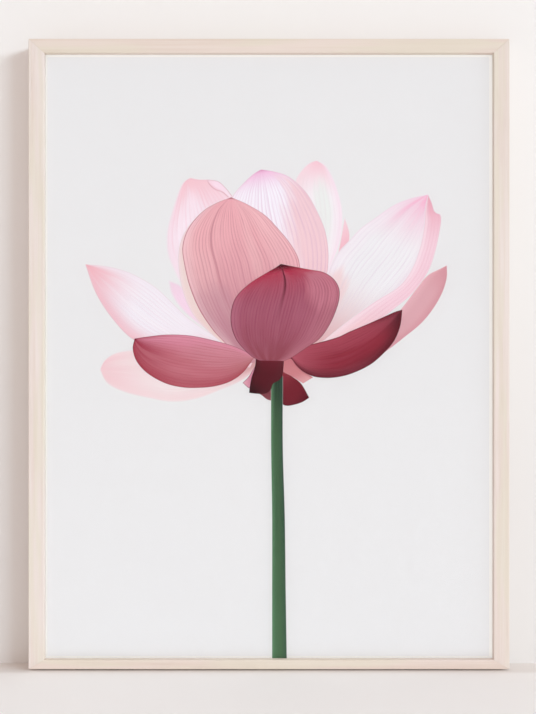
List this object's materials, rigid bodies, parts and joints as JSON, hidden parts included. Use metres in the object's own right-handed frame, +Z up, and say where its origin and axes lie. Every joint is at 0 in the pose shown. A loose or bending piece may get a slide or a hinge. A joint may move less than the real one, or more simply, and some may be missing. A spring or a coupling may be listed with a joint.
{
  "type": "framed print",
  "caption": "Slim pale wood picture frame holding a printed flower sheet behind clear glazing, to stand on a surface or hang on a wall.",
  "frame": {"origin": "on the surface the frame stands on, under the middle of the frame, halfway between its front face and the back of its bumpers", "axes": "+X right as seen from the front, +Y towards the wall behind, so the picture faces -Y, and +Z up"},
  "size_m": [0.48, 0.0264, 0.6305],
  "materials": {
    "pale_wood": "whitewashed, fine lengthwise grain, matt",
    "clear_glazing": "clear, low reflection",
    "print_paper": "matt art paper with a printed picture",
    "grey_card": "uncoated grey filler card",
    "hardboard": "brown hardboard, smooth face",
    "zinc_steel": "zinc-plated steel",
    "bumper_rubber": "matt black rubber"
  },
  "bodies": {
    "root": {"top_rail": "pale_wood", "bottom_rail": "pale_wood", "left_rail": "pale_wood", "right_rail": "pale_wood", "glazing": "clear_glazing", "print_sheet": "print_paper", "backing_card": "grey_card", "back_panel": "hardboard", "tab_top_1": "zinc_steel", "tab_top_2": "zinc_steel", "tab_top_3": "zinc_steel", "tab_top_4": "zinc_steel", "tab_bottom_1": "zinc_steel", "tab_bottom_2": "zinc_steel", "tab_bottom_3": "zinc_steel", "tab_bottom_4": "zinc_steel", "tab_left_1": "zinc_steel", "tab_left_2": "zinc_steel", "tab_left_3": "zinc_steel", "tab_left_4": "zinc_steel", "tab_right_1": "zinc_steel", "tab_right_2": "zinc_steel", "tab_right_3": "zinc_steel", "tab_right_4": "zinc_steel", "corner_nail_top_left": "zinc_steel", "bumper_top_left": "bumper_rubber", "corner_nail_top_right": "zinc_steel", "bumper_top_right": "bumper_rubber", "corner_nail_bottom_left": "zinc_steel", "bumper_bottom_left": "bumper_rubber", "corner_nail_bottom_right": "zinc_steel", "bumper_bottom_right": "bumper_rubber", "foot_strip_left": "bumper_rubber", "foot_strip_right": "bumper_rubber", "hanger_left": "zinc_steel", "hanger_screw_left_outer": "zinc_steel", "hanger_screw_left_inner": "zinc_steel", "hanger_right": "zinc_steel", "hanger_screw_right_outer": "zinc_steel", "hanger_screw_right_inner": "zinc_steel"}
  },
  "joints": []
}
